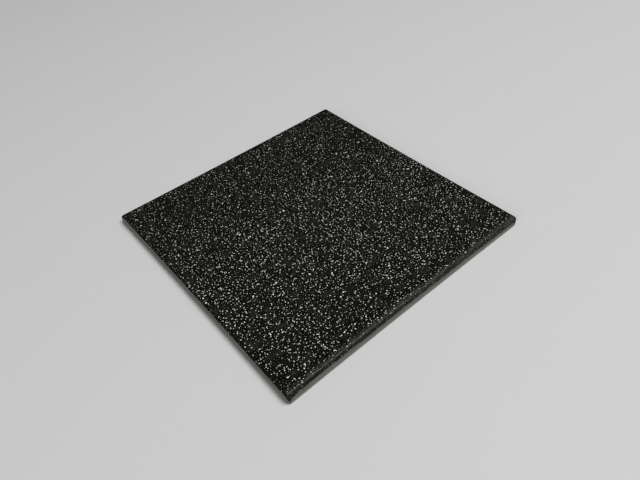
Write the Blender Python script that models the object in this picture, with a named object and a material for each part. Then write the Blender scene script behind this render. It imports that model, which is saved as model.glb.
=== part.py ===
"""A square dry-pressed ceramic floor tile, lying on its bed with its glazed face up.

Metres, +Z up. The origin is the centre of the bed face, and the edges run along X and Y.
"""

from math import pi, sqrt

import bmesh
import bpy
from mathutils import Matrix

# Overall size of the tile
TILE_LENGTH = 0.200
TILE_WIDTH = 0.200
TILE_THICKNESS = 0.0070

# Rounding of the face's edge, and the small chamfer round the bed
ARRIS_RADIUS = 0.0020
FACE_CORNER_RADIUS = 0.0004
BED_CHAMFER = 0.0004

# Keying relief of the bed: shallow square recesses with flat ribs between them
KEY_RECESS = 0.0170
KEY_RIB = 0.0050
KEY_DEPTH = 0.0007
KEY_TAPER = 0.0005

# Facets of the rounded forms
ARRIS_SEGMENTS = 6
CORNER_SEGMENTS = 5

# The recess cutters start this far below the bed
CUTTER_OVERRUN = 0.0005

GLAZE_COLOUR = (0.022, 0.021, 0.019, 1.0)
GLAZE_ROUGHNESS = 0.55


def clear_scene():
    for obj in list(bpy.data.objects):
        bpy.data.objects.remove(obj, do_unlink=True)


def new_collection(name):
    collection = bpy.data.collections.new(name)
    bpy.context.scene.collection.children.link(collection)
    return collection


def new_object(name, mesh_builder, collection):
    """An object whose mesh is the bmesh that mesh_builder returns."""
    shape = mesh_builder()
    mesh = bpy.data.meshes.new(name)
    shape.to_mesh(mesh)
    shape.free()
    obj = bpy.data.objects.new(name, mesh)
    collection.objects.link(obj)
    return obj


def upright_edges(shape):
    """The edges that run straight up from the bed to the face."""
    return [e for e in shape.edges if abs(e.verts[0].co.z - e.verts[1].co.z) > TILE_THICKNESS / 2]


def edges_at(shape, height):
    """The edges that lie all round the outline at one height."""
    tolerance = TILE_THICKNESS / 100
    return [e for e in shape.edges if all(abs(v.co.z - height) < tolerance for v in e.verts)]


def pressed_slab():
    """A plate with rounded plan corners, a rounded arris round its face and a chamfer round its bed."""
    shape = bmesh.new()
    size = Matrix.Diagonal((TILE_LENGTH, TILE_WIDTH, TILE_THICKNESS, 1.0))
    lift = Matrix.Translation((0.0, 0.0, TILE_THICKNESS / 2))
    bmesh.ops.create_cube(shape, size=1.0, matrix=lift @ size)
    plan_corner = FACE_CORNER_RADIUS + ARRIS_RADIUS
    round_off(shape, upright_edges(shape), plan_corner, CORNER_SEGMENTS)
    round_off(shape, edges_at(shape, TILE_THICKNESS), ARRIS_RADIUS, ARRIS_SEGMENTS)
    round_off(shape, edges_at(shape, 0.0), BED_CHAMFER, 1)
    return shape


def round_off(shape, edges, width, segments):
    bmesh.ops.bevel(
        shape,
        geom=edges,
        offset=width,
        offset_type="OFFSET",
        segments=segments,
        profile=0.5,
        affect="EDGES",
        clamp_overlap=True,
    )


def recess_centres(side):
    """Recess centres along one side, with a rib at the middle and a border of at least half a recess."""
    pitch = KEY_RECESS + KEY_RIB
    per_half = int((side / 2 - KEY_RECESS / 2 + KEY_RIB / 2) / pitch)
    right = [(step + 0.5) * pitch for step in range(per_half)]
    return [-x for x in reversed(right)] + right


def key_recesses():
    """One square block for each recess, narrower towards the recess's floor."""
    shape = bmesh.new()
    slope = KEY_TAPER / KEY_DEPTH
    mouth = KEY_RECESS + 2 * slope * CUTTER_OVERRUN
    floor = KEY_RECESS - 2 * KEY_TAPER
    height = KEY_DEPTH + CUTTER_OVERRUN
    quarter_turn = Matrix.Rotation(pi / 4, 4, "Z")
    for x in recess_centres(TILE_LENGTH):
        for y in recess_centres(TILE_WIDTH):
            place = Matrix.Translation((x, y, (KEY_DEPTH - CUTTER_OVERRUN) / 2))
            bmesh.ops.create_cone(
                shape,
                cap_ends=True,
                segments=4,
                radius1=mouth / sqrt(2),
                radius2=floor / sqrt(2),
                depth=height,
                matrix=place @ quarter_turn,
            )
    return shape


def glaze():
    material = bpy.data.materials.new("speckled_glaze")
    material.use_nodes = True
    shader = material.node_tree.nodes["Principled BSDF"]
    shader.inputs["Base Color"].default_value = GLAZE_COLOUR
    shader.inputs["Roughness"].default_value = GLAZE_ROUGHNESS
    shader.inputs["Metallic"].default_value = 0.0
    return material


def main():
    clear_scene()
    parts = new_collection("ceramic_floor_tile")
    cutters = new_collection("cutters")
    cutters.hide_render = True

    tile = new_object("floor_tile", pressed_slab, parts)
    tile.data.materials.append(glaze())
    tile.data.shade_smooth()
    tile.data.set_sharp_from_angle(angle=pi / 5)

    recesses = new_object("key_recess_cutter", key_recesses, cutters)
    recesses.hide_render = True
    recesses.display_type = "WIRE"

    cut = tile.modifiers.new("keying relief", "BOOLEAN")
    cut.operation = "DIFFERENCE"
    cut.object = recesses


main()
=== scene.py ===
"""A glazed ceramic floor tile, lying face up on a pale table, as one fired piece."""

from math import pi, radians

import bpy
import numpy as np
from mathutils import Matrix, Vector


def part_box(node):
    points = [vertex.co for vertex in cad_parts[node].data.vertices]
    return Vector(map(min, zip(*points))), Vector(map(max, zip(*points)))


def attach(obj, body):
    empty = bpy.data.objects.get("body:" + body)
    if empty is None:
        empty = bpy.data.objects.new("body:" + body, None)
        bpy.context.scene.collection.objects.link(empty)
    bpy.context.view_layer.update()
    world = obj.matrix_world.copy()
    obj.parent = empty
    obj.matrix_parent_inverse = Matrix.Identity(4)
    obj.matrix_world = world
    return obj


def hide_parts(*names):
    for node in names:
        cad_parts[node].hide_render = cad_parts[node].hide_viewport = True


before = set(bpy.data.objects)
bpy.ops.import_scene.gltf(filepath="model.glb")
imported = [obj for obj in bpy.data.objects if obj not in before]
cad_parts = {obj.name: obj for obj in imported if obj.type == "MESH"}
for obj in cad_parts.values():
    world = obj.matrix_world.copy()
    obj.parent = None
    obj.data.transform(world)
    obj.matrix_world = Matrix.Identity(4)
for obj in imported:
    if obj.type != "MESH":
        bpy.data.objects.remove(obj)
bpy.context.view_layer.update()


# The fired plate. Clay powder is pressed face up in a square steel die, glazed and fired as one piece.
# The die leaves a flat face with a rounded arris, plain upright sides, and a bed with shallow square
# recesses that key into the adhesive. Firing pulls the middle of each side in by about half a millimetre.
MM = 0.001
_, FACE_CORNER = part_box("floor_tile")
HALF = FACE_CORNER.x
THICKNESS = FACE_CORNER.z

ARRIS_RADIUS = 2.0 * MM
FACE_CORNER_RADIUS = 0.4 * MM
BED_ARRIS = 0.4 * MM
FIRING_BOW = 0.5 * MM
GLAZE_THICKNESS = 0.08 * MM

FACE_WAVE = 0.03 * MM
FACE_WAVE_LENGTH = 45 * MM
FACE_WAVE_SEED = 3
WAVES_MIXED = 12
SHORTEST_WAVE = 0.6
LONGEST_WAVE = 1.6

RECESS = 17.0 * MM
RIB = 5.0 * MM
RECESS_DEPTH = 0.7 * MM
RECESS_TAPER = 0.5 * MM
RECESSES_PER_HALF = 4

# How many steps of the mesh lie across each form
HALF_RIB_STEPS = 2
WALL_STEPS = 4
RECESS_FLOOR_STEPS = 11
RIB_STEPS = 3
BORDER_STEPS = 8
CORNER_STEPS = 4
ARRIS_STEPS = 10
SIDE_STEPS = 8
BED_ARRIS_STEPS = 3


def spaced(start, end, steps):
    """Places from start in equal steps towards end, without end itself."""
    return np.linspace(start, end, steps + 1)[:-1]


def ruled_lines():
    """Where the grid's lines cross one axis: (core, overhang). Core is the place inside the plate's square
    core. Overhang runs 0 to 1 through the rounded corner zone outside it, and is 0 in the core. Lines are
    close together on the recess walls and about 1.4 mm apart elsewhere. The last recess has the border beside
    it in place of a rib."""
    core = HALF - ARRIS_RADIUS - FACE_CORNER_RADIUS
    pitch = RECESS + RIB
    half_wall = RECESS_TAPER / 2
    first_mouth = RIB / 2
    last_mouth = RECESSES_PER_HALF * pitch - RIB / 2
    one_recess = np.concatenate([
        spaced(-half_wall, RECESS_TAPER + half_wall, WALL_STEPS),
        spaced(RECESS_TAPER + half_wall, RECESS - RECESS_TAPER - half_wall, RECESS_FLOOR_STEPS),
        spaced(RECESS - RECESS_TAPER - half_wall, RECESS + half_wall, WALL_STEPS),
        spaced(RECESS + half_wall, pitch - half_wall, RIB_STEPS),
    ])
    starts = first_mouth + pitch * np.arange(RECESSES_PER_HALF)
    recesses = (starts[:, None] + one_recess[None, :]).ravel()[:-RIB_STEPS]
    border = np.linspace(last_mouth + half_wall, core, BORDER_STEPS + 1)
    middle_rib = spaced(0.0, first_mouth - half_wall, HALF_RIB_STEPS)
    right = np.concatenate([middle_rib, recesses, border])
    inside = np.concatenate([-right[:0:-1], right])
    steps = np.linspace(0.0, 1.0, CORNER_STEPS + 1)[1:]
    core_at = np.concatenate([np.full(CORNER_STEPS, -core), inside, np.full(CORNER_STEPS, core)])
    overhang = np.concatenate([-steps[::-1], np.zeros(len(inside)), steps])
    return core_at, overhang


def round_square(core_x, core_y, over_x, over_y, radius):
    """Plan position on the rounded square: the core point plus radius times the overhang, with the corner's
    square of overhangs bent into a quarter disc. The larger overhang becomes the distance from the core's
    corner, and the ratio of the two becomes the angle."""
    reach = np.maximum(np.abs(over_x), np.abs(over_y))
    larger = np.where(reach > 0, reach, 1.0)
    wide = np.abs(over_x) >= np.abs(over_y)
    lean = pi / 4 * np.where(wide, np.abs(over_y), np.abs(over_x)) / larger
    outward = reach * np.cos(lean)
    sideways = reach * np.sin(lean)
    out_x = np.sign(over_x) * np.where(wide, outward, sideways)
    out_y = np.sign(over_y) * np.where(wide, sideways, outward)
    return core_x + radius * out_x, core_y + radius * out_y


def waves(x, y, length, seed):
    """Gentle random waves of about that length: the sum of sine waves whose directions, lengths and phases
    are random, divided by its furthest crest or trough, which becomes 1 or -1."""
    draw = np.random.default_rng(seed)
    total = np.zeros(np.broadcast(x, y).shape)
    for _ in range(WAVES_MIXED):
        turn = draw.uniform(0, 2 * pi)
        stretch = draw.uniform(SHORTEST_WAVE, LONGEST_WAVE)
        phase = draw.uniform(0, 2 * pi)
        run = (x * np.cos(turn) + y * np.sin(turn)) * 2 * pi / (length * stretch)
        total += np.sin(run + phase)
    return total / np.abs(total).max()


def smooth_step(low, high, value):
    """0 below low, 1 above high, and 3t squared less 2t cubed between them."""
    t = np.clip((value - low) / (high - low), 0.0, 1.0)
    return t * t * (3 - 2 * t)


def recess_rise(core):
    """Share of the recess depth along one axis: 1 on a recess's floor, 0 on a rib or the border, with a
    smooth wall between them."""
    pitch = RECESS + RIB
    away = np.abs(np.mod(np.abs(core), pitch) - pitch / 2)
    inside = smooth_step(RECESS / 2, RECESS / 2 - RECESS_TAPER, away)
    return inside * (np.abs(core) < RECESSES_PER_HALF * pitch)


def walk_round(grid):
    """The border of a square grid, once round anticlockwise from its front left corner."""
    return np.concatenate([grid[0, :-1], grid[:-1, -1], grid[-1, :0:-1], grid[:0:-1, 0]])


def side_section():
    """The side's section as (radius beyond the core, height) from the face's edge down to the bed's: a
    quarter circle, an upright side, and a small quarter circle."""
    outer = FACE_CORNER_RADIUS + ARRIS_RADIUS
    turn = np.linspace(0, pi / 2, ARRIS_STEPS + 1)
    arris = np.stack([FACE_CORNER_RADIUS + ARRIS_RADIUS * np.sin(turn),
                      THICKNESS - ARRIS_RADIUS + ARRIS_RADIUS * np.cos(turn)], 1)
    side = np.stack([np.full(SIDE_STEPS + 1, outer),
                     np.linspace(THICKNESS - ARRIS_RADIUS, BED_ARRIS, SIDE_STEPS + 1)], 1)
    turn = np.linspace(0, pi / 2, BED_ARRIS_STEPS + 1)
    foot = np.stack([outer - BED_ARRIS + BED_ARRIS * np.cos(turn),
                     BED_ARRIS - BED_ARRIS * np.sin(turn)], 1)
    return np.concatenate([arris, side[1:], foot[1:]])


def fired(points):
    """The pressed shape after firing: each coordinate is drawn in by a share that is greatest at the middle
    of the side and falls with the square of the distance to nothing at the corners."""
    x, y, z = points.T
    share = FIRING_BOW / HALF
    drawn_in_x = x * (1 - share * (1 - (y / HALF) ** 2))
    drawn_in_y = y * (1 - share * (1 - (x / HALF) ** 2))
    return np.stack([drawn_in_x, drawn_in_y, z], 1)


core_at, overhang = ruled_lines()
grid_x, grid_y = np.meshgrid(core_at, core_at)
over_x, over_y = np.meshgrid(overhang, overhang)
profile = side_section()
run_down = np.concatenate([[0.0], np.cumsum(np.hypot(*np.diff(profile, axis=0).T))])

face_x, face_y = round_square(grid_x, grid_y, over_x, over_y, profile[0, 0])
face_z = THICKNESS - FACE_WAVE * (1 + waves(face_x, face_y, FACE_WAVE_LENGTH, FACE_WAVE_SEED))
bed_x, bed_y = round_square(grid_x, grid_y, over_x, over_y, profile[-1, 0])
bed_z = RECESS_DEPTH * recess_rise(grid_x) * recess_rise(grid_y)

# The rim's points once round, and the way straight out from the side at each of them
rim = [walk_round(grid) for grid in (grid_x, grid_y, over_x, over_y)]
rim_x, rim_y, rim_over_x, rim_over_y = rim
out_x, out_y = round_square(0.0, 0.0, rim_over_x, rim_over_y, 1.0)

# How far the glaze has run down the section before it stops, in millimetres past the start of the arris, as
# (place along the side, run). It has run further on the front and back sides than on the left and right.
FRONT_RUN = [(-97.6, 4.4), (-95.5, 2.9), (-92, 2.3), (-86, 2.5), (-80, 2.3), (-55, 2.4), (-40, 2.7),
             (-20, 2.5), (0, 2.7), (20, 2.6), (38, 2.8), (56, 2.9), (66, 3.5), (73, 4.0), (80, 3.3),
             (87, 3.4), (92, 3.5), (95.5, 3.7), (97.6, 5.6)]
BACK_RUN = [(-98, 2.9), (-60, 2.4), (-20, 2.6), (10, 3.1), (55, 2.5), (98, 2.8)]
LEFT_RUN = [(-98, 1.85), (20, 1.65), (70, 1.5), (98, 1.35)]
RIGHT_RUN = [(-98, 2.0), (-40, 1.7), (30, 1.9), (98, 1.7)]
GLAZE_EDGE_SLOPE = 0.15


def along(pairs, at):
    """A value that changes along an edge in straight lines between pairs of (place in millimetres, value)."""
    places, values = np.array(pairs).T
    return np.interp(at, places * MM, values)


share_front = np.clip(-out_y, 0, 1) ** 2
share_back = np.clip(out_y, 0, 1) ** 2
share_left = np.clip(-out_x, 0, 1) ** 2
share_right = np.clip(out_x, 0, 1) ** 2
glaze_run = share_front * along(FRONT_RUN, rim_x) + share_back * along(BACK_RUN, rim_x)
glaze_run = glaze_run + share_left * along(LEFT_RUN, rim_y) + share_right * along(RIGHT_RUN, rim_y)

# It has also run down three of the upright corners. Four times the product of the squares of both directions
# is 1 in the middle of a corner and 0 on the straight sides. At the front left corner the run keeps to the
# front, and is whole where the front's share is 0.8.
FRONT_LEFT_RUN = 4.2
FRONT_RIGHT_RUN = 4.0
BACK_LEFT_RUN = 0.2
BACK_RIGHT_RUN = 2.5
KEEPS_TO_FRONT = 2.5
at_corner = np.clip(4 * out_x ** 2 * out_y ** 2, 0, 1)
towards_front = np.clip(KEEPS_TO_FRONT * share_front - 1, 0, 1)
at_corner = at_corner * np.where((rim_x < 0) & (rim_y < 0), towards_front, 1)
front_corner_run = np.where(rim_x < 0, FRONT_LEFT_RUN, FRONT_RIGHT_RUN)
back_corner_run = np.where(rim_x < 0, BACK_LEFT_RUN, BACK_RIGHT_RUN)
glaze_run = glaze_run + at_corner * np.where(rim_y < 0, front_corner_run, back_corner_run)

# The rings of points down the side. The bare side lies lower than the glazed one by the glaze's thickness.
ring_down = run_down[1:-1, None]
edge_angle = np.clip(ring_down / ARRIS_RADIUS, 0, pi / 2)
past_glaze = ring_down / MM - glaze_run[None, :]
sunk = GLAZE_THICKNESS * smooth_step(-GLAZE_EDGE_SLOPE, GLAZE_EDGE_SLOPE, past_glaze)
ring_radius = profile[1:-1, :1] - sunk * np.sin(edge_angle)
ring_x, ring_y = round_square(*[line[None, :] for line in rim], ring_radius)
ring_z = profile[1:-1, 1:] - sunk * np.cos(edge_angle)
rim_sink = THICKNESS - walk_round(face_z)
ring_z = ring_z - rim_sink * smooth_step(0.0, THICKNESS, ring_z)

face_points = np.stack([face_x, face_y, face_z], -1).reshape(-1, 3)
ring_points = np.stack([ring_x, ring_y, ring_z], -1).reshape(-1, 3)
bed_points = np.stack([bed_x, bed_y, bed_z], -1).reshape(-1, 3)
plate_points = fired(np.concatenate([face_points, ring_points, bed_points]))

face_index = np.arange(grid_x.size).reshape(grid_x.shape)
ring_index = len(face_points) + np.arange(ring_x.size).reshape(ring_x.shape)
bed_index = len(face_points) + len(ring_points) + face_index
belt = np.concatenate([walk_round(face_index)[None], ring_index, walk_round(bed_index)[None]])
belt = np.concatenate([belt, belt[:, :1]], 1)


def quads(index):
    """The grid's cells as quads, anticlockwise when the grid's rows run up and its columns to the right."""
    return np.stack([index[:-1, :-1], index[:-1, 1:], index[1:, 1:], index[1:, :-1]], -1).reshape(-1, 4)


plate_quads = np.concatenate([quads(face_index), quads(belt[::-1]), quads(bed_index)[:, ::-1]])
plate_mesh = bpy.data.meshes.new("fired_plate")
plate_mesh.from_pydata(plate_points.tolist(), [], plate_quads.tolist())
plate_mesh.shade_smooth()
plate = bpy.data.objects.new("fired_plate", plate_mesh)
bpy.context.scene.collection.objects.link(plate)


def keep_value(name, face_value, ring_value, bed_value):
    """Stores one number for each point of the plate, in the order face, rings, bed."""
    values = [np.broadcast_to(value, shape).ravel() for value, shape in
              ((face_value, face_x.shape), (ring_value, ring_x.shape), (bed_value, bed_x.shape))]
    layer = plate_mesh.attributes.new(name, "FLOAT", "POINT")
    layer.data.foreach_set("value", np.concatenate(values).astype(np.float32))


# What the finish needs to know at each point, in millimetres: the way down the section past the start of the
# arris (past_arris), where the glaze stops on that way (glaze_run), the same way for the front edge alone
# (past_front), and the point's place on the glaze if it were unrolled flat (flat_x, flat_y). All of the face
# is glazed, and all of the bed is bare and far from the front edge, so one fixed value serves for each. A
# side's share grows from 0 to 1 as the way straight out turns towards that side, between SIDE_BEGINS and
# SIDE_WHOLE of it.
FACE_GLAZE_RUN = 2.0
BED_GLAZE_RUN = 0.0
BED_PAST_FRONT = 20.0
SIDE_BEGINS = 0.5
SIDE_WHOLE = 0.9
arris_start = HALF - ARRIS_RADIUS
inward = arris_start - np.maximum(np.abs(face_x), np.abs(face_y))
at_front = smooth_step(SIDE_BEGINS, SIDE_WHOLE, -out_y)
at_left = smooth_step(SIDE_BEGINS, SIDE_WHOLE, -out_x)
face_past_front = (-face_y - arris_start) / MM
ring_past_front = (at_front * ring_down + (1 - at_front) * (-rim_y - arris_start)) / MM
unrolled = FACE_CORNER_RADIUS + ring_down
keep_value("past_arris", -inward / MM, ring_down / MM, run_down[-1] / MM)
keep_value("glaze_run", FACE_GLAZE_RUN, glaze_run[None, :], BED_GLAZE_RUN)
keep_value("past_front", face_past_front, ring_past_front, BED_PAST_FRONT)
keep_value("flat_x", face_x / MM, (rim_x + unrolled * out_x) / MM, bed_x / MM)
keep_value("flat_y", face_y / MM, (rim_y + unrolled * out_y) / MM, bed_y / MM)

# Wear, painted sheen and dirt. The front edge is scuffed paler along the start of the arris, most of all near
# the left end; the paleness is partly wear and partly painted sheen.
# Below the glaze the front side carries six olive smudges, as (place, width, depth) of each.
SCUFF_SHEEN_REACH = 3.4
ARRIS_SCUFF_BEGINS = -0.1
ARRIS_SCUFF_WHOLE = 0.2
SCUFFED_SIDE_BEGINS = 0.70
SCUFFED_SIDE_WHOLE = 0.97
FACE_SCUFF_SHEEN = [(-98, 0.85), (-40, 0.78), (10, 0.70), (55, 0.58), (98, 0.48)]
ARRIS_SCUFF = [(-98, 0.16), (-60, 0.24), (0, 0.36), (50, 0.46), (84, 0.52), (92, 0.85), (98, 0.80)]
SMUDGES = [(-88, 3.5, 0.8), (-40, 4.0, 0.5), (-14, 3.0, 0.5), (19, 3.5, 0.8), (84, 4.0, 0.7), (92, 5.0, 0.9)]


def scuff_and_sheen_share(past, x):
    """Share of scuffed glaze, paler by wear and painted sheen: it rises over the scuff's reach to the start
    of the arris, and changes there to the share that the arris has."""
    on_face = smooth_step(-SCUFF_SHEEN_REACH, 0.0, past) * along(FACE_SCUFF_SHEEN, x)
    on_arris = along(ARRIS_SCUFF, x)
    return on_face + (on_arris - on_face) * smooth_step(ARRIS_SCUFF_BEGINS, ARRIS_SCUFF_WHOLE, past)


scuffed_side = smooth_step(SCUFFED_SIDE_BEGINS, SCUFFED_SIDE_WHOLE, -out_y)
ring_scuff_sheen = scuff_and_sheen_share(ring_past_front, rim_x) * scuffed_side
keep_value("scuff_and_sheen", scuff_and_sheen_share(face_past_front, face_x), ring_scuff_sheen, 0.0)
smudge = sum(deep * np.exp(-((rim_x / MM - middle) / wide) ** 2) for middle, wide, deep in SMUDGES)
keep_value("smudge", 0.0, (smudge * at_front)[None, :], 0.0)

# The grit fell more thickly, and its brighter grains too, towards the front left than at the back right. The
# arris kept less of it, and duller. Both are given as (place, value) backwards and rightwards.
AMOUNT_BACKWARDS = [(-98, 1.07), (-16, 1.10), (16, 1.00), (48, 0.95), (98, 0.81)]
AMOUNT_RIGHTWARDS = [(-98, 1.05), (0, 1.02), (98, 0.90)]
SHINE_BACKWARDS = [(-98, 1.00), (-80, 1.07), (-48, 1.35), (-16, 1.30), (16, 0.98), (48, 0.85), (98, 0.75)]
SHINE_RIGHTWARDS = [(-98, 1.10), (0, 1.05), (98, 0.88)]
RIM_AMOUNT = 0.25
LEFT_RIM_ADDS = 0.35
FRONT_RIM_ADDS = [(-98, 0.25), (0, 0.35), (50, 0.65), (98, 0.75)]
RIM_SHINE = 0.35
LEFT_RIM_SHINE_ADDS = 0.25
face_amount = along(AMOUNT_BACKWARDS, face_y) * along(AMOUNT_RIGHTWARDS, face_x)
face_shine = along(SHINE_BACKWARDS, face_y) * along(SHINE_RIGHTWARDS, face_x)
rim_amount = RIM_AMOUNT + LEFT_RIM_ADDS * at_left + at_front * along(FRONT_RIM_ADDS, rim_x)
rim_shine = RIM_SHINE + LEFT_RIM_SHINE_ADDS * at_left
keep_value("grit_amount", face_amount, rim_amount[None, :], 0.0)
keep_value("grit_shine", face_shine, rim_shine[None, :], 0.0)


# The plate's finish: a matt, near-black glaze sprinkled with pale grit before firing, over a bare grey body.
# The grit is a fine dust, grains, and flakes up to about 1.8 mm long, in clumps with paler open patches
# between. Grains and flakes lie in hollows, darkened there with painted shade. On the sides the glaze
# stops in a ragged line.
GLAZE_DARK = (0.0036, 0.0040, 0.0023, 1.0)
GLAZE_PALE = (0.0084, 0.0089, 0.0062, 1.0)
GLAZE_OPEN = (0.0270, 0.0284, 0.0208, 1.0)
GLAZE_OPEN_COOL = (0.0270, 0.0264, 0.0278, 1.0)
# Painted shade for the hollows round the grains and flakes
HOLLOW_PAINTED_SHADE = (0.0003, 0.0003, 0.0002, 1.0)
# Paler scuffed glaze near the front edge, partly wear and partly painted sheen
GLAZE_SCUFFED_SHEEN = (0.044, 0.045, 0.041, 1.0)
GLAZE_WORN = (0.160, 0.163, 0.147, 1.0)
# The worn line at the start of the front arris, also a painted highlight
GLAZE_WORN_HIGHLIGHT = (0.186, 0.190, 0.173, 1.0)
GRIT_DUST = (0.0270, 0.0283, 0.0226, 1.0)
GRIT_DIM = (0.124, 0.127, 0.112, 1.0)
GRIT_MIDDLE = (0.53, 0.535, 0.49, 1.0)
GRIT_BRIGHT = (0.925, 0.933, 0.868, 1.0)
BODY_GREY = (0.142, 0.149, 0.132, 1.0)
BODY_PALE = (0.246, 0.257, 0.233, 1.0)
BODY_OLIVE = (0.133, 0.133, 0.0665, 1.0)
GLAZE_GLOSS = 0.0105
NOISE_MIDDLE = 0.5


def link(tree, source, socket):
    """Joins a node's output to an input, or sets the input to a plain value."""
    if isinstance(source, bpy.types.NodeSocket):
        tree.links.new(source, socket)
    else:
        socket.default_value = source


def maths(tree, operation, *values):
    """One Math node on up to three values or outputs."""
    node = tree.nodes.new("ShaderNodeMath")
    node.operation = operation
    for socket, value in zip(node.inputs, values):
        link(tree, value, socket)
    return node.outputs[0]


def vector_maths(tree, operation, *vectors):
    """One Vector Math node on up to two vectors. A length comes out as a number, the rest as a vector."""
    node = tree.nodes.new("ShaderNodeVectorMath")
    node.operation = operation
    for socket, vector in zip(node.inputs, vectors):
        link(tree, vector, socket)
    return node.outputs["Value" if operation == "LENGTH" else "Vector"]


def ramp(tree, value, low, high, start=0.0, end=1.0):
    """Start below low, end above high, and 3t squared less 2t cubed of the way between them."""
    node = tree.nodes.new("ShaderNodeMapRange")
    node.interpolation_type = "SMOOTHSTEP"
    limits = {"Value": value, "From Min": low, "From Max": high, "To Min": start, "To Max": end}
    for name, number in limits.items():
        link(tree, number, node.inputs[name])
    return node.outputs["Result"]


def blend(tree, kind, share, below, above):
    """Share 0 gives what is below, share 1 what is above, for a kind of value: RGBA or FLOAT."""
    node = tree.nodes.new("ShaderNodeMix")
    node.data_type = kind
    link(tree, share, node.inputs["Factor"])
    link(tree, below, node.inputs["A"])
    link(tree, above, node.inputs["B"])
    return node.outputs["Result"]


def noise(tree, point, size, detail, roughness, output="Fac"):
    """Cloudy noise whose lumps are about size wide, as values from 0 to 1."""
    node = tree.nodes.new("ShaderNodeTexNoise")
    link(tree, point, node.inputs["Vector"])
    node.inputs["Scale"].default_value = 1.0 / size
    node.inputs["Detail"].default_value = detail
    node.inputs["Roughness"].default_value = roughness
    return node.outputs[output]


def counted_in(tree, point, step_x, step_y, step_z):
    """The point divided by a step's length along each axis, so that a long step draws a pattern out."""
    node = tree.nodes.new("ShaderNodeMapping")
    node.inputs["Scale"].default_value = (1 / step_x, 1 / step_y, 1 / step_z)
    link(tree, point, node.inputs["Vector"])
    return node.outputs["Vector"]


def ragged(tree, point, amount, chipping):
    """The point pushed about by amount times a noise, so that what is drawn from it has broken edges."""
    push = noise(tree, point, *chipping, output="Color")
    push = vector_maths(tree, "SUBTRACT", push, (NOISE_MIDDLE, NOISE_MIDDLE, NOISE_MIDDLE))
    push = vector_maths(tree, "MULTIPLY", push, (amount, amount, amount))
    return vector_maths(tree, "ADD", point, push)


def kept(tree, name):
    """One of the numbers stored on the plate's points."""
    node = tree.nodes.new("ShaderNodeAttribute")
    node.attribute_name = name
    return node.outputs["Fac"]


# Each size of grit, in millimetres: the spacing of its cells, the share of them that hold a fleck, and the
# smallest and largest mean radius of a fleck. A chip's angle in radians is its own random number times
# CHIP_TURNS. The flecks and the painted shade of their hollows fade out over their edges.
DUST_GRIT = (1.4, 0.33, 0.06, 0.12)
GRAIN_GRIT = (1.8, 0.82, 0.15, 0.43)
FLAKE_GRIT = (4.0, 0.16, 0.29, 0.63)
CHIP_STRETCH = 1.4
CHIP_TURNS = 40.0
FLECK_EDGE = 0.07
HOLLOW_SHADE_WIDTH = 0.55
HOLLOW_SHADE_EDGE = 0.12


def grit(tree, point, crowd, spacing, share, small, large):
    """Flecks scattered one to a flat cell of about spacing. A cell holds a fleck where its own random number
    is under share times crowd. The fleck is a longish chip: an ellipse turned at random, whose mean radius is
    random between small and large. It gives the flecks' mask, the mask of the painted shade in the hollow
    that the grain made round itself, and each fleck's own random brightness."""
    cells = tree.nodes.new("ShaderNodeTexVoronoi")
    cells.voronoi_dimensions = "2D"
    cells.inputs["Scale"].default_value = 1.0 / spacing
    link(tree, point, cells.inputs["Vector"])
    throw = tree.nodes.new("ShaderNodeTexWhiteNoise")
    link(tree, cells.outputs["Color"], throw.inputs["Vector"])
    lots = tree.nodes.new("ShaderNodeSeparateColor")
    link(tree, throw.outputs["Color"], lots.inputs["Color"])
    turned = tree.nodes.new("ShaderNodeVectorRotate")
    turned.rotation_type = "Z_AXIS"
    link(tree, vector_maths(tree, "SUBTRACT", point, cells.outputs["Position"]), turned.inputs["Vector"])
    link(tree, maths(tree, "MULTIPLY", lots.outputs["Red"], CHIP_TURNS), turned.inputs["Angle"])
    drawn_out = vector_maths(tree, "MULTIPLY", turned.outputs[0], (1 / CHIP_STRETCH, CHIP_STRETCH, 0.0))
    away = vector_maths(tree, "LENGTH", drawn_out)
    radius = maths(tree, "MULTIPLY_ADD", lots.outputs["Green"], large - small, small)
    within = maths(tree, "SUBTRACT", radius, away)
    inside = ramp(tree, within, 0.0, FLECK_EDGE)
    # The ring of painted shade in the hollow round the fleck
    shaded_ring = ramp(tree, within, -HOLLOW_SHADE_WIDTH, HOLLOW_SHADE_EDGE - HOLLOW_SHADE_WIDTH)
    chosen = maths(tree, "LESS_THAN", lots.outputs["Red"], maths(tree, "MULTIPLY", crowd, share))
    fleck = maths(tree, "MULTIPLY", inside, chosen)
    hollow_shade = maths(tree, "MULTIPLY", shaded_ring, chosen)
    return fleck, hollow_shade, lots.outputs["Blue"]


finish = bpy.data.materials.new("gritted_glaze_on_grey_body")
finish.use_nodes = True
tree = finish.node_tree
shader = tree.nodes["Principled BSDF"]
shader.inputs["Specular IOR Level"].default_value = GLAZE_GLOSS
coordinates = tree.nodes.new("ShaderNodeTexCoord")
place = counted_in(tree, coordinates.outputs["Object"], MM, MM, MM)
place_axes = tree.nodes.new("ShaderNodeSeparateXYZ")
link(tree, place, place_axes.inputs[0])
flat_axes = tree.nodes.new("ShaderNodeCombineXYZ")
link(tree, kept(tree, "flat_x"), flat_axes.inputs["X"])
link(tree, kept(tree, "flat_y"), flat_axes.inputs["Y"])
flat = flat_axes.outputs[0]
past_arris = kept(tree, "past_arris")
past_front = kept(tree, "past_front")
glaze_stop = kept(tree, "glaze_run")

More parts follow.
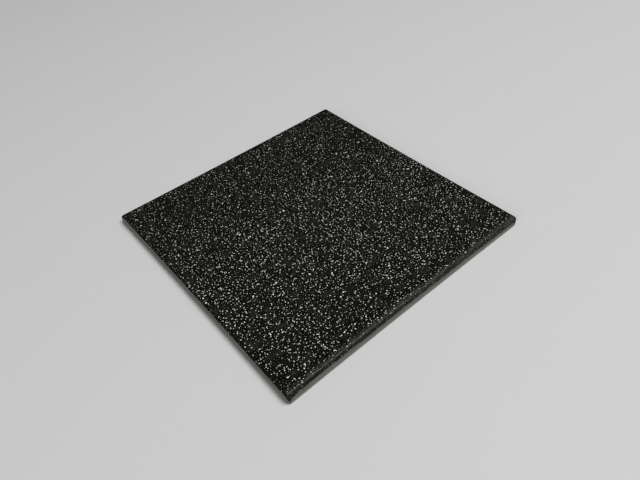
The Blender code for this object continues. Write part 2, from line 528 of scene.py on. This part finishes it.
# Scuffing: a mottled paler haze with fine scratches along the front edge, worn and with painted sheen. From
# here on a noise is given as the size of its lumps in millimetres, its detail and its roughness. A ramp is
# given as the two values that it runs between and, where that isn't from 0 to 1, what it gives at them.
MOTTLE_NOISE = (0.65, 3.0, 0.7)
SPECKLE_NOISE = (0.7, 2.0, 0.7)
SCRATCH_NOISE = (1.0, 2.0, 0.6)
SCRATCH_STEPS = (7.0, 0.5, 1.0)
SCRATCH_SHARE = 0.4
SHEEN_HAZE_RAMP = (0.40, 0.54, 0.45, 1.0)
PAST_SHEEN_HAZE_RAMP = (0.0, 0.3)
WORN_SPOT_RAMP = (0.47, 0.56)
mottle = noise(tree, place, *MOTTLE_NOISE)
scuffed_with_sheen = maths(tree, "MULTIPLY", kept(tree, "scuff_and_sheen"), ramp(tree, mottle, *SHEEN_HAZE_RAMP))
scratches = noise(tree, counted_in(tree, flat, *SCRATCH_STEPS), *SCRATCH_NOISE)
speckle = maths(tree, "MULTIPLY", noise(tree, place, *SPECKLE_NOISE), 1 - SCRATCH_SHARE)
speckle = maths(tree, "MULTIPLY_ADD", scratches, SCRATCH_SHARE, speckle)
# The haze: paler scuffed glaze carrying painted sheen on the face near the front edge
sheen_haze = blend(tree, "RGBA", ramp(tree, past_front, *PAST_SHEEN_HAZE_RAMP), GLAZE_SCUFFED_SHEEN, GLAZE_PALE)
sheen_haze = blend(tree, "RGBA", ramp(tree, speckle, *WORN_SPOT_RAMP), sheen_haze, GLAZE_WORN)

# Where the grit is crowded: in broad drifts and in clumps, and less of it where the glaze is scuffed
DRIFT_NOISE = (26.0, 3.0, 0.6)
DRIFT_RAMP = (0.30, 0.70, 0.88, 1.10)
CLUMP_NOISE = (7.0, 2.0, 0.5)
CLUMP_RAMP = (0.32, 0.62, 0.62, 1.12)
SCUFFED_AWAY = 0.70
clumps = noise(tree, place, *CLUMP_NOISE)
crowd = ramp(tree, noise(tree, place, *DRIFT_NOISE), *DRIFT_RAMP)
crowd = maths(tree, "MULTIPLY", crowd, kept(tree, "grit_amount"))
crowd = maths(tree, "MULTIPLY", crowd, ramp(tree, clumps, *CLUMP_RAMP))
crowd = maths(tree, "MULTIPLY", crowd, maths(tree, "MULTIPLY_ADD", scuffed_with_sheen, -SCUFFED_AWAY, 1.0))

# The flecks lie on the glaze as if it were unrolled flat, and have broken outlines
CHIPPING_NOISE = (0.42, 1.0, 0.5)
CHIPPING_DEPTH = 0.36
chipped = ragged(tree, flat, CHIPPING_DEPTH, CHIPPING_NOISE)
dust, _, dust_lot = grit(tree, chipped, crowd, *DUST_GRIT)
grain, grain_hollow_shade, grain_lot = grit(tree, chipped, crowd, *GRAIN_GRIT)
flake, flake_hollow_shade, flake_lot = grit(tree, chipped, crowd, *FLAKE_GRIT)
flecks = maths(tree, "MAXIMUM", maths(tree, "MAXIMUM", dust, grain), flake)
hollow_shade = maths(tree, "MAXIMUM", grain_hollow_shade, flake_hollow_shade)

# The glaze's colour: cloudy, paler and in places cool where the grit lies open, dusty all over, scuffed
# paler near the front edge with wear and painted sheen, and darkened with painted shade in the hollows
CLOUD_NOISE = (6.0, 4.0, 0.6)
CLOUD_RAMP = (0.35, 0.75)
COOL_NOISE = (15.0, 2.0, 0.5)
COOL_RAMP = (0.42, 0.62)
OPEN_RAMP = (0.30, 0.52, 1.0, 0.0)
OPEN_MOTTLE_RAMP = (0.40, 0.58, 0.2, 1.1)
DUSTY_RAMP = (0.46, 0.66, 0.0, 0.5)
HOLLOW_SHADE_WORN_OFF = 0.4
clouds = noise(tree, place, *CLOUD_NOISE)
opened = maths(tree, "MULTIPLY", ramp(tree, clumps, *OPEN_RAMP), ramp(tree, mottle, *OPEN_MOTTLE_RAMP))
cool = ramp(tree, noise(tree, place, *COOL_NOISE), *COOL_RAMP)
open_colour = blend(tree, "RGBA", cool, GLAZE_OPEN, GLAZE_OPEN_COOL)
glaze = blend(tree, "RGBA", ramp(tree, clouds, *CLOUD_RAMP), GLAZE_DARK, GLAZE_PALE)
glaze = blend(tree, "RGBA", opened, glaze, open_colour)
glaze = blend(tree, "RGBA", ramp(tree, mottle, *DUSTY_RAMP), glaze, GRIT_DUST)
# Scuffed glaze near the front edge: wear with painted sheen
glaze = blend(tree, "RGBA", scuffed_with_sheen, glaze, sheen_haze)
# Painted shade in the hollows, less where the glaze is scuffed
hollow_shade = maths(tree, "MULTIPLY", hollow_shade, maths(tree, "MULTIPLY_ADD", scuffed_with_sheen, -HOLLOW_SHADE_WORN_OFF, 1.0))
glaze = blend(tree, "RGBA", hollow_shade, glaze, HOLLOW_PAINTED_SHADE)

# Each fleck's colour: from dim to bright by its own random number, and veiled by glaze on the arris and sides
BRIGHT_POWER = 1.10
VEIL_RAMP = (0.0, 0.5, 1.0, 0.6)
FLECK_COLOURS = [(dust, dust_lot, GRIT_DUST, GRIT_MIDDLE), (grain, grain_lot, GRIT_DIM, GRIT_BRIGHT),
                 (flake, flake_lot, GRIT_MIDDLE, GRIT_BRIGHT)]
unveiled = ramp(tree, past_arris, *VEIL_RAMP)
for mask, lot, dim, bright in FLECK_COLOURS:
    shine = maths(tree, "MULTIPLY", maths(tree, "POWER", lot, BRIGHT_POWER), kept(tree, "grit_shine"))
    fleck_colour = blend(tree, "RGBA", shine, dim, bright)
    glaze = blend(tree, "RGBA", maths(tree, "MULTIPLY", mask, unveiled), glaze, fleck_colour)

# The broken pale line where the front arris starts, fading towards the right: worn into the glaze, and a
# painted highlight along the start of the rounding
LINE_TOP_RAMP = (-0.30, -0.08)
LINE_FOOT_RAMP = (0.02, 0.24, 1.0, 0.0)
LINE_FADING_RAMP = (-90.0, 60.0, 0.72, 0.12)
LINE_BREAK_NOISE = (1.2, 3.0, 0.7)
LINE_BREAK_RAMP = (0.42, 0.56, 0.1, 1.1)
line_foot = ramp(tree, past_front, *LINE_FOOT_RAMP)
worn_highlight_line = maths(tree, "MULTIPLY", ramp(tree, past_front, *LINE_TOP_RAMP), line_foot)
worn_highlight_line = maths(tree, "MULTIPLY", worn_highlight_line, ramp(tree, place_axes.outputs["X"], *LINE_FADING_RAMP))
breaks = ramp(tree, noise(tree, place, *LINE_BREAK_NOISE), *LINE_BREAK_RAMP)
glaze = blend(tree, "RGBA", maths(tree, "MULTIPLY", worn_highlight_line, breaks), glaze, GLAZE_WORN_HIGHLIGHT)

# Bare body: pressed in faint level layers, grainy, with the olive smudges, and paler towards the bed with
# painted light, as if thrown up by the pale table
LAYER_NOISE = (1.0, 3.0, 0.6)
LAYER_STEPS = (14.0, 14.0, 0.9)
CLAY_NOISE = (0.9, 3.0, 0.75)
PAINTED_BOUNCE_RAMP = (3.9, 1.5)
LAYER_WEIGHT = 0.75
CLAY_WEIGHT = 0.5
PAINTED_BOUNCE_WEIGHT = 0.42
TINT_RAMP = (0.35, 1.15)
SMUDGE_NOISE = (2.2, 3.0, 0.6)
SMUDGE_RAMP = (0.35, 0.6, 0.4, 1.0)
SMUDGE_FOOT_RAMP = (1.2, 3.2, 1.0, 0.0)
layers = noise(tree, counted_in(tree, place, *LAYER_STEPS), *LAYER_NOISE)
clay = noise(tree, place, *CLAY_NOISE)
# Painted light: the body paler low on the side, where the table's light falls on it
low = ramp(tree, place_axes.outputs["Z"], *PAINTED_BOUNCE_RAMP)
tint = maths(tree, "MULTIPLY_ADD", layers, LAYER_WEIGHT, maths(tree, "MULTIPLY", clay, CLAY_WEIGHT))
tint = maths(tree, "MULTIPLY_ADD", low, PAINTED_BOUNCE_WEIGHT, tint)
body = blend(tree, "RGBA", ramp(tree, tint, *TINT_RAMP), BODY_GREY, BODY_PALE)
below = maths(tree, "SUBTRACT", past_arris, glaze_stop)
patches = ramp(tree, noise(tree, place, *SMUDGE_NOISE), *SMUDGE_RAMP)
smudged = maths(tree, "MULTIPLY", kept(tree, "smudge"), patches)
smudged = maths(tree, "MULTIPLY", smudged, ramp(tree, below, *SMUDGE_FOOT_RAMP))
body = blend(tree, "RGBA", smudged, body, BODY_OLIVE)

# Where glaze gives way to body: a line frayed the more, the further the glaze has run
FRAY_NOISE = (1.3, 3.0, 0.6)
FRAY_GAIN = 1.6
FRAY_START = -2.0
COVER_RAMP = (-0.06, 0.06)
fray = maths(tree, "SUBTRACT", noise(tree, place, *FRAY_NOISE), NOISE_MIDDLE)
fray = maths(tree, "MULTIPLY", fray, maths(tree, "MULTIPLY_ADD", glaze_stop, FRAY_GAIN, FRAY_START))
cover = ramp(tree, maths(tree, "SUBTRACT", fray, below), *COVER_RAMP)
link(tree, blend(tree, "RGBA", cover, body, glaze), shader.inputs["Base Color"])

# How matt each is, and the fine relief: flecks and mottle stand up from the glaze, and the clay is grainy
BODY_ROUGHNESS = 0.85
GLAZE_ROUGHNESS = 0.44
CLOUDS_ROUGHEN = 0.12
FLECK_RISE = 0.5
MOTTLE_RISE = 0.5
CLAY_RISE = 0.8
RELIEF_DEPTH = 0.06 * MM
RELIEF_STRENGTH = 0.6
glaze_roughness = maths(tree, "MULTIPLY_ADD", clouds, CLOUDS_ROUGHEN, GLAZE_ROUGHNESS)
link(tree, blend(tree, "FLOAT", cover, BODY_ROUGHNESS, glaze_roughness), shader.inputs["Roughness"])
glaze_relief = maths(tree, "MULTIPLY_ADD", flecks, FLECK_RISE, maths(tree, "MULTIPLY", mottle, MOTTLE_RISE))
body_relief = maths(tree, "MULTIPLY", clay, CLAY_RISE)
bump = tree.nodes.new("ShaderNodeBump")
bump.inputs["Strength"].default_value = RELIEF_STRENGTH
bump.inputs["Distance"].default_value = RELIEF_DEPTH
link(tree, blend(tree, "FLOAT", cover, body_relief, glaze_relief), bump.inputs["Height"])
link(tree, bump.outputs["Normal"], shader.inputs["Normal"])

plate_mesh.materials.append(finish)
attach(plate, "root")
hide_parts("floor_tile")


# The table top: a wide, plain, pale panel, painted matt, on which the tile lies loose. It has an opening
# under the tile, which the tile covers, so that the bed can be lit and looked at too.
TABLE_HALF = 4.0
TABLE_DROP = 0.03 * MM
TILE_LAP = 7.0 * MM
TABLE_COLOUR = (0.70, 0.70, 0.70, 1.0)
TABLE_ROUGHNESS = 0.7
corner_turn = pi / 4 + pi / 2 * np.arange(4)
square = np.stack([np.cos(corner_turn), np.sin(corner_turn), np.zeros(4)], 1) * np.sqrt(2)
table_points = np.concatenate([square * (HALF - TILE_LAP), square * TABLE_HALF]) - (0.0, 0.0, TABLE_DROP)
inner = np.arange(4)
inner_next = np.roll(inner, -1)
table_quads = np.stack([inner, inner + 4, inner_next + 4, inner_next], 1)
table_mesh = bpy.data.meshes.new("table_top")
table_mesh.from_pydata(table_points.tolist(), [], table_quads.tolist())
table = bpy.data.objects.new("table_top", table_mesh)
bpy.context.scene.collection.objects.link(table)
table_paint = bpy.data.materials.new("pale_table")
table_paint.use_nodes = True
table_shader = table_paint.node_tree.nodes["Principled BSDF"]
table_shader.inputs["Base Color"].default_value = TABLE_COLOUR
table_shader.inputs["Roughness"].default_value = TABLE_ROUGHNESS
table_mesh.materials.append(table_paint)


# The light. A white room with a large soft lamp above on the right, a weaker one on the left, and one below
# the table for the bed. Each lamp's place and width are in metres, and its power is in watts.
ROOM_COLOUR = (1.0, 1.0, 1.0, 1.0)
ROOM_LIGHT = 0.17
LAMPS = {
    "key_light": ((0.60, -0.86, 2.40), 1.40, 48.8),
    "fill_light": ((-2.20, -0.40, 1.10), 1.20, 10.2),
    "bed_light": ((0.50, -0.60, -1.40), 0.80, 9.0),
}
room = bpy.data.worlds.new("studio")
room.use_nodes = True
room.node_tree.nodes["Background"].inputs["Color"].default_value = ROOM_COLOUR
room.node_tree.nodes["Background"].inputs["Strength"].default_value = ROOM_LIGHT
bpy.context.scene.world = room


def softbox(name, stand_at, width, power):
    """A square soft lamp of that width, whose axis runs from its place to the middle of the tile's bed."""
    lamp = bpy.data.lights.new(name, "AREA")
    lamp.shape = "SQUARE"
    lamp.size = width
    lamp.energy = power
    stand = bpy.data.objects.new(name, lamp)
    stand.location = stand_at
    stand.rotation_euler = (-Vector(stand_at)).to_track_quat("-Z", "Y").to_euler()
    bpy.context.scene.collection.objects.link(stand)


for name, (stand_at, width, power) in LAMPS.items():
    softbox(name, stand_at, width, power)


# The camera looks down over the tile's nearest corner, with the view turned a little off level. Its lens and
# sensor are in millimetres, and the rest is in metres.
CAMERA_PLACE = Vector((-0.1653, -0.2300, 0.2661))
CAMERA_AIM = Vector((-0.0110, -0.0223, 0.0070))
CAMERA_ROLL = radians(-5.49)
LENS = 30.57
SENSOR_WIDTH = 36.0
NEAREST_SEEN = 0.01
camera = bpy.data.cameras.new("camera")
camera.lens = LENS
camera.sensor_width = SENSOR_WIDTH
camera.clip_start = NEAREST_SEEN
camera_stand = bpy.data.objects.new("camera", camera)
level_view = (CAMERA_AIM - CAMERA_PLACE).to_track_quat("-Z", "Y").to_matrix().to_4x4()
roll = Matrix.Rotation(CAMERA_ROLL, 4, "Z")
camera_stand.matrix_world = Matrix.Translation(CAMERA_PLACE) @ level_view @ roll
bpy.context.scene.collection.objects.link(camera_stand)
bpy.context.scene.camera = camera_stand
bpy.context.scene.view_settings.view_transform = "Standard"
